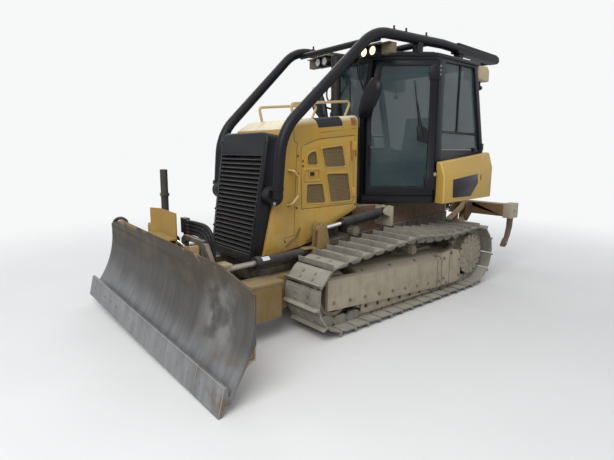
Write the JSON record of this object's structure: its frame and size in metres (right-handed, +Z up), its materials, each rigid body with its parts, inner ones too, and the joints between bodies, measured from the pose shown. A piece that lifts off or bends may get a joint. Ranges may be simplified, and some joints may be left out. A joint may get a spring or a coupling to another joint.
{
  "type": "bulldozer",
  "caption": "Small crawler dozer with an angling and tilting blade, a glazed cab under tubular guards, and a parallel-link ripper behind.",
  "frame": {"origin": "on the ground under the middle of the whole machine", "axes": "+Z up, -Y to the front (towards the blade), +X to the driver's left"},
  "size_m": [2.6786, 4.764, 2.7297],
  "materials": {
    "yellow_paint": "satin, dusty",
    "dusty_yellow": "matte with dust",
    "black_paint": "satin",
    "dusty_steel": "dry mud and rust",
    "track_steel": "worn, clay dusted",
    "worn_blade": "scoured",
    "chrome_rod": "polished",
    "tinted_glass": "clear, tinted",
    "cab_plastic": "grained",
    "seat_cloth": "woven",
    "tan_plastic": "matte",
    "light_tan": "dusty"
  },
  "bodies": {
    "machine": {"track_left": "track_steel", "track_right": "track_steel", "idlers": "dusty_steel", "sprockets": "light_tan", "track_rollers": "dusty_steel", "track_frames": "dusty_steel", "main_frame": "black_paint", "hood": "yellow_paint", "grille_guard": "black_paint", "radiator": "black_paint", "engine_block": "black_paint", "hood_rails": "light_tan", "cab_frame": "black_paint", "cab_glass": "tinted_glass", "cab_roof": "black_paint", "cab_interior": "cab_plastic", "seat_cushions": "seat_cloth", "side_boxes": "yellow_paint", "rear_tank": "yellow_paint", "sweeps": "black_paint", "exhaust_stack": "black_paint", "front_lamps": "black_paint", "roof_boxes": "tan_plastic", "ripper_bracket": "dusty_yellow"},
    "engine_door_left": {"engine_door_left": "yellow_paint"},
    "engine_door_right": {"engine_door_right": "yellow_paint"},
    "cab_door_left": {"cab_door_left": "black_paint", "cab_door_left_glass": "tinted_glass"},
    "cab_door_right": {"cab_door_right": "black_paint", "cab_door_right_glass": "tinted_glass"},
    "push_frame": {"push_frame": "dusty_yellow"},
    "blade_carrier": {"blade_carrier": "dusty_yellow"},
    "blade": {"mouldboard": "worn_blade", "blade_back": "worn_blade", "cutting_edge": "worn_blade", "sensor_mast": "dusty_yellow"},
    "ripper_links_low": {"ripper_lower_links": "dusty_yellow"},
    "ripper_links_high": {"ripper_upper_links": "dusty_yellow"},
    "ripper_tool_bar": {"ripper_beam": "dusty_yellow"},
    "tilt_barrel": {"tilt_barrel": "black_paint"},
    "tilt_rod": {"tilt_rod": "chrome_rod"},
    "ripper_barrel": {"ripper_barrel": "black_paint"},
    "ripper_rod": {"ripper_rod": "chrome_rod"},
    "lift_barrel_left": {"lift_barrel_left": "black_paint"},
    "lift_rod_left": {"lift_rod_left": "chrome_rod"},
    "lift_barrel_right": {"lift_barrel_right": "black_paint"},
    "lift_rod_right": {"lift_rod_right": "chrome_rod"},
    "angle_barrel_left": {"angle_barrel_left": "black_paint"},
    "angle_rod_left": {"angle_rod_left": "chrome_rod"},
    "angle_barrel_right": {"angle_barrel_right": "black_paint"},
    "angle_rod_right": {"angle_rod_right": "chrome_rod"}
  },
  "joints": [
    {"name": "blade_lift", "type": "hinge", "parent": "machine", "child": "push_frame", "pos_m": [0, -0.15, 0.43], "axis": [-1, 0, 0], "range_deg": [-11, 18]},
    {"name": "blade_angle", "type": "hinge", "parent": "push_frame", "child": "blade_carrier", "pos_m": [0, -1.88, 0.34], "axis": [0, 0, 1], "range_deg": [-25, 25]},
    {"name": "blade_tilt", "type": "hinge", "parent": "blade_carrier", "child": "blade", "pos_m": [0, -2.08, 0.33], "axis": [0, 1, 0], "range_deg": [-10, 6]},
    {"name": "lift_barrel_left", "type": "hinge", "parent": "machine", "child": "lift_barrel_left", "pos_m": [0.482, 0.06, 0.935], "axis": [-1, 0, 0], "range_deg": [-8.23, 13.44]},
    {"name": "lift_rod_left", "type": "slide", "parent": "lift_barrel_left", "child": "lift_rod_left", "axis": [0, -0.9948, -0.1017], "range_m": [-0.159, 0.0973]},
    {"name": "angle_barrel_left", "type": "hinge", "parent": "push_frame", "child": "angle_barrel_left", "pos_m": [0.452, -0.985, 0.645], "axis": [0, 0, 1], "range_deg": [-0.37, 0.37]},
    {"name": "angle_rod_left", "type": "slide", "parent": "angle_barrel_left", "child": "angle_rod_left", "axis": [0.0603, -0.9982, 0], "range_m": [-0.2192, 0.2192]},
    {"name": "lift_barrel_right", "type": "hinge", "parent": "machine", "child": "lift_barrel_right", "pos_m": [-0.482, 0.06, 0.935], "axis": [-1, 0, 0], "range_deg": [-8.23, 13.44]},
    {"name": "lift_rod_right", "type": "slide", "parent": "lift_barrel_right", "child": "lift_rod_right", "axis": [0, -0.9948, -0.1017], "range_m": [-0.159, 0.0973]},
    {"name": "angle_barrel_right", "type": "hinge", "parent": "push_frame", "child": "angle_barrel_right", "pos_m": [-0.452, -0.985, 0.645], "axis": [0, 0, 1], "range_deg": [-0.37, 0.37]},
    {"name": "angle_rod_right", "type": "slide", "parent": "angle_barrel_right", "child": "angle_rod_right", "axis": [-0.0603, -0.9982, 0], "range_m": [-0.2192, 0.2192]},
    {"name": "tilt_barrel", "type": "hinge", "parent": "blade", "child": "tilt_barrel", "pos_m": [-0.43, -2.012, 0.89], "axis": [0, 1, 0], "range_deg": [-1.87, 3.08]},
    {"name": "tilt_rod", "type": "slide", "parent": "tilt_barrel", "child": "tilt_rod", "axis": [0.9871, 0, -0.1599], "range_m": [-0.0514, 0.0853]},
    {"name": "ripper_lift", "type": "hinge", "parent": "machine", "child": "ripper_links_low", "pos_m": [0, 1.65, 0.44], "axis": [1, 0, 0], "range_deg": [-58, 5]},
    {"name": "ripper_bar_level", "type": "hinge", "parent": "ripper_links_low", "child": "ripper_tool_bar", "pos_m": [0, 2.1, 0.64], "axis": [1, 0, 0], "range_deg": [-5.1, 58.1]},
    {"name": "ripper_high_links", "type": "hinge", "parent": "machine", "child": "ripper_links_high", "pos_m": [0, 1.65, 0.63], "axis": [1, 0, 0], "range_deg": [-58.1, 5.1]},
    {"name": "ripper_barrel", "type": "hinge", "parent": "machine", "child": "ripper_barrel", "pos_m": [0, 1.64, 0.95], "axis": [1, 0, 0], "range_deg": [-36.64, 3.2]},
    {"name": "ripper_rod", "type": "slide", "parent": "ripper_barrel", "child": "ripper_rod", "axis": [0, 0.9271, -0.3748], "range_m": [-0.0273, 0.311]},
    {"name": "cab_door_left", "type": "hinge", "parent": "machine", "child": "cab_door_left", "pos_m": [0.748, 0.56, 1.75], "axis": [0, 0, 1], "range_deg": [0, 110]},
    {"name": "cab_door_right", "type": "hinge", "parent": "machine", "child": "cab_door_right", "pos_m": [-0.748, 0.56, 1.75], "axis": [0, 0, -1], "range_deg": [0, 110]},
    {"name": "engine_door_left", "type": "hinge", "parent": "machine", "child": "engine_door_left", "pos_m": [0.431, -0.312, 1.37], "axis": [0, 0, 1], "range_deg": [0, 100]},
    {"name": "engine_door_right", "type": "hinge", "parent": "machine", "child": "engine_door_right", "pos_m": [-0.431, -0.312, 1.37], "axis": [0, 0, -1], "range_deg": [0, 100]}
  ],
  "couplings": [
    {"joint": "lift_barrel_left", "follows": "blade_lift", "ratio": 0.7291},
    {"joint": "lift_rod_left", "follows": "blade_lift", "m_per_rad": -0.4945},
    {"joint": "angle_barrel_left", "follows": "blade_angle", "ratio": -0.0127},
    {"joint": "angle_rod_left", "follows": "blade_angle", "m_per_rad": -0.4915},
    {"joint": "lift_barrel_right", "follows": "blade_lift", "ratio": 0.7291},
    {"joint": "lift_rod_right", "follows": "blade_lift", "m_per_rad": -0.4945},
    {"joint": "angle_barrel_right", "follows": "blade_angle", "ratio": -0.0127},
    {"joint": "angle_rod_right", "follows": "blade_angle", "m_per_rad": 0.4915},
    {"joint": "tilt_barrel", "follows": "blade_tilt", "ratio": -0.2972},
    {"joint": "tilt_rod", "follows": "blade_tilt", "m_per_rad": -0.4766},
    {"joint": "ripper_bar_level", "follows": "ripper_lift", "ratio": -1},
    {"joint": "ripper_high_links", "follows": "ripper_lift", "ratio": 1},
    {"joint": "ripper_barrel", "follows": "ripper_lift", "ratio": 0.6185},
    {"joint": "ripper_rod", "follows": "ripper_lift", "m_per_rad": -0.3007}
  ]
}
